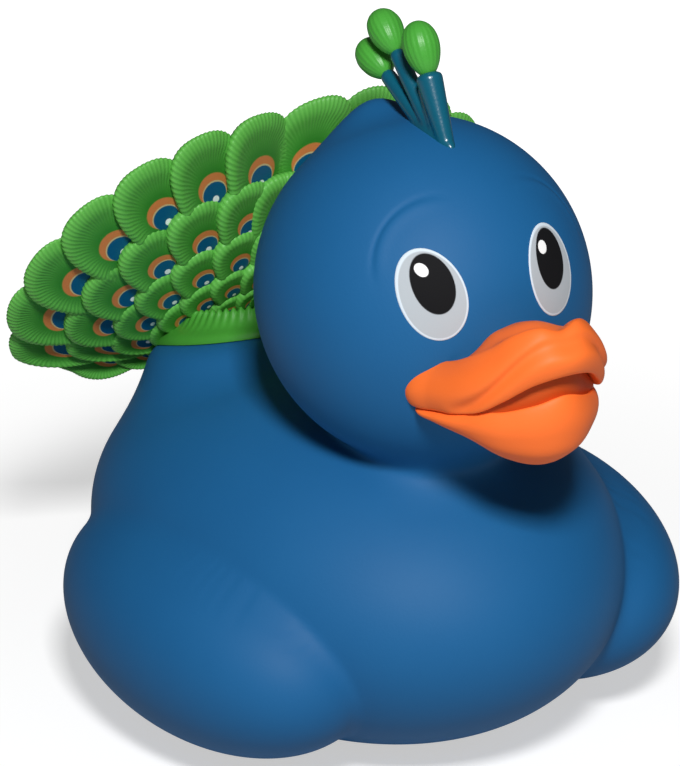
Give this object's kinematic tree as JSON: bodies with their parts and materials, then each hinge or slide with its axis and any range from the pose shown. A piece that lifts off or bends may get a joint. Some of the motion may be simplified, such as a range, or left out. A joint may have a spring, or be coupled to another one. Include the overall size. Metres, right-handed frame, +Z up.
{
  "type": "rubber duck",
  "caption": "Vinyl bath duck dressed as a peacock: round head and bill, folded wings, a raised fan of overlapping feathers and a small crest.",
  "frame": {"origin": "on the ground under the middle of the duck's outer box", "axes": "+Z up, -Y the way the duck looks, +X to its left"},
  "size_m": [0.086, 0.1014, 0.1054],
  "materials": {
    "body_vinyl": "satin",
    "feather_vinyl": "satin",
    "crest_vinyl": "gloss",
    "valve_plastic": "matte",
    "bill_paint": "satin",
    "eye_print": "satin"
  },
  "bodies": {
    "root": {"duck_body": "body_vinyl", "tail_fan": "feather_vinyl", "head_crest": "crest_vinyl", "squeaker_valve": "valve_plastic"}
  },
  "joints": []
}
